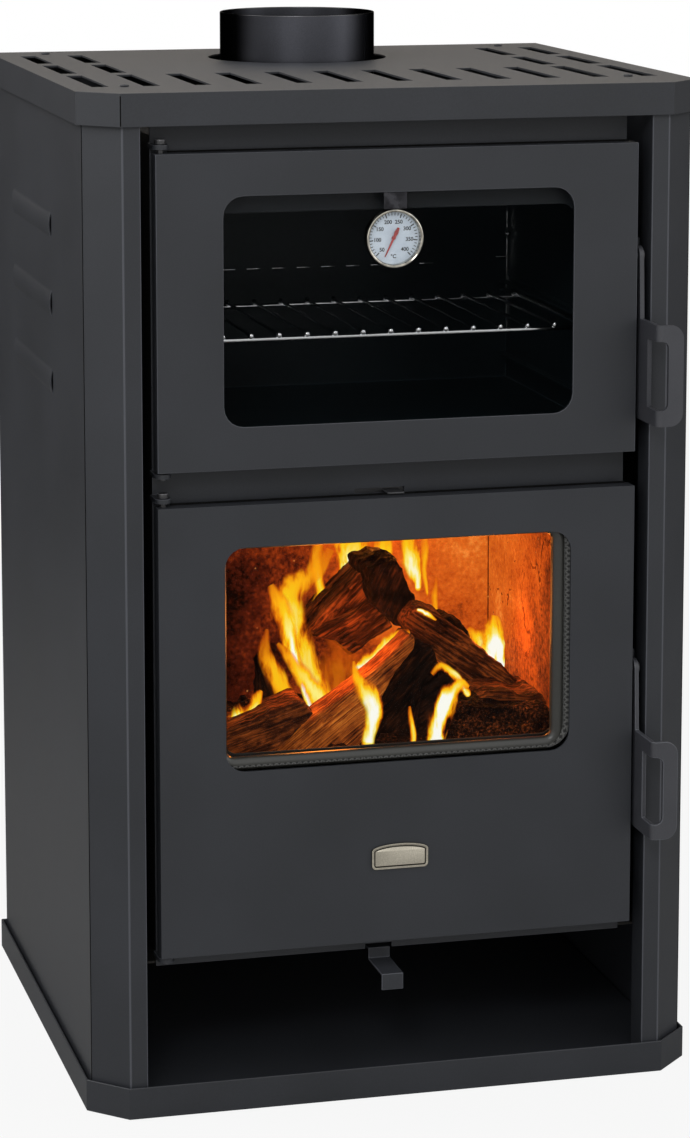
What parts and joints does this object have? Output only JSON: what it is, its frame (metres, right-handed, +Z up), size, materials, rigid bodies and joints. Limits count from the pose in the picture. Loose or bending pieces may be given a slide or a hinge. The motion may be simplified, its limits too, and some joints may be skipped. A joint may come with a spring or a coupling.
{
  "type": "wood-burning stove with oven",
  "caption": "Free-standing steel wood-burning stove: glazed oven above a glazed firebox, open wood store under it, slotted top with a round rear flue collar.",
  "frame": {"origin": "centre of the base tray's underside, on the floor", "axes": "+Z up through the flue collar's rim, the doors face -Y, +X is the viewer's right and the handle side"},
  "size_m": [0.566, 0.555, 0.96],
  "materials": {
    "stove_paint": "matt heat-proof dark grey paint",
    "inner_steel": "plain heat-blackened steel plate",
    "cast_iron": "raw black casting",
    "firebrick": "rough refractory brick",
    "door_glass": "clear heat-proof glass",
    "seal_rope": "braided dark grey heat-proof rope",
    "chrome": "bright plated",
    "bright_steel": "satin",
    "oven_enamel": "dark gloss enamel",
    "dial_face": "pale satin print on sheet",
    "needle_paint": "red satin paint",
    "badge_metal": "dark satin, bare"
  },
  "bodies": {
    "stove_body": {"base_tray": "stove_paint", "wood_store_floor": "stove_paint", "left_side_panel": "stove_paint", "right_side_panel": "stove_paint", "left_corner_post": "stove_paint", "right_corner_post": "stove_paint", "back_panel": "stove_paint", "top_cover": "stove_paint", "front_frame": "stove_paint", "body_shell": "inner_steel", "flue_collar": "stove_paint", "left_support_rail": "inner_steel", "right_support_rail": "inner_steel", "oven_box": "oven_enamel", "smoke_baffle": "inner_steel", "left_oven_runner": "oven_enamel", "right_oven_runner": "oven_enamel", "hearth_plate": "cast_iron", "grate": "cast_iron", "back_brick": "firebrick", "left_brick": "firebrick", "right_brick": "firebrick", "log_guard": "cast_iron", "primary_air_guide": "inner_steel", "secondary_air_channel": "inner_steel", "oven_door_upper_pin": "bright_steel", "oven_door_lower_pin": "bright_steel", "fire_door_upper_pin": "bright_steel", "fire_door_lower_pin": "bright_steel", "oven_latch_catch": "stove_paint", "fire_latch_catch": "stove_paint"},
    "oven_door": {"oven_door_panel": "stove_paint", "oven_door_inner_frame": "inner_steel", "oven_door_glass": "door_glass", "oven_door_seal": "seal_rope", "oven_glass_gasket": "seal_rope", "thermometer_case": "chrome", "thermometer_lens": "door_glass", "thermometer_dial": "dial_face", "thermometer_hanger": "bright_steel", "oven_handle_pin": "bright_steel"},
    "oven_handle": {"oven_handle": "stove_paint"},
    "thermometer_needle": {"thermometer_needle": "needle_paint"},
    "fire_door": {"fire_door_panel": "stove_paint", "fire_door_inner_frame": "inner_steel", "fire_door_glass": "door_glass", "fire_door_seal": "seal_rope", "fire_glass_rope": "seal_rope", "fire_window_bezel": "stove_paint", "badge_plate": "badge_metal", "fire_handle_pin": "bright_steel"},
    "fire_handle": {"fire_handle": "stove_paint"},
    "primary_air": {"primary_air_lever": "stove_paint", "primary_air_damper": "inner_steel"},
    "secondary_air": {"secondary_air_slider": "bright_steel"},
    "oven_rack": {"oven_rack": "chrome"},
    "ash_pan": {"ash_pan": "inner_steel"}
  },
  "joints": [
    {"name": "oven_door_hinge", "type": "hinge", "parent": "stove_body", "child": "oven_door", "pos_m": [-0.2125, -0.24, 0.723], "axis": [0, 0, -1], "range_deg": [0, 110]},
    {"name": "oven_handle_lift", "type": "hinge", "parent": "oven_door", "child": "oven_handle", "pos_m": [0.2245, -0.24, 0.76], "axis": [-1, 0, 0], "range_deg": [0, 25]},
    {"name": "thermometer_needle_turn", "type": "hinge", "parent": "oven_door", "child": "thermometer_needle", "pos_m": [-0.0045, -0.25, 0.783], "axis": [0, 1, 0], "range_deg": [0, 289]},
    {"name": "fire_door_hinge", "type": "hinge", "parent": "stove_body", "child": "fire_door", "pos_m": [-0.2125, -0.24, 0.3485], "axis": [0, 0, -1], "range_deg": [0, 110]},
    {"name": "fire_handle_lift", "type": "hinge", "parent": "fire_door", "child": "fire_handle", "pos_m": [0.2245, -0.24, 0.381], "axis": [-1, 0, 0], "range_deg": [0, 25]},
    {"name": "primary_air_slide", "type": "slide", "parent": "stove_body", "child": "primary_air", "axis": [0, -1, 0], "range_m": [0, 0.04]},
    {"name": "secondary_air_slide", "type": "slide", "parent": "stove_body", "child": "secondary_air", "axis": [-1, 0, 0], "range_m": [0, 0.025]},
    {"name": "oven_rack_slide", "type": "slide", "parent": "stove_body", "child": "oven_rack", "axis": [0, -1, 0], "range_m": [0, 0.028]},
    {"name": "ash_pan_slide", "type": "slide", "parent": "stove_body", "child": "ash_pan", "axis": [0, -1, 0], "range_m": [0, 0.018]}
  ]
}
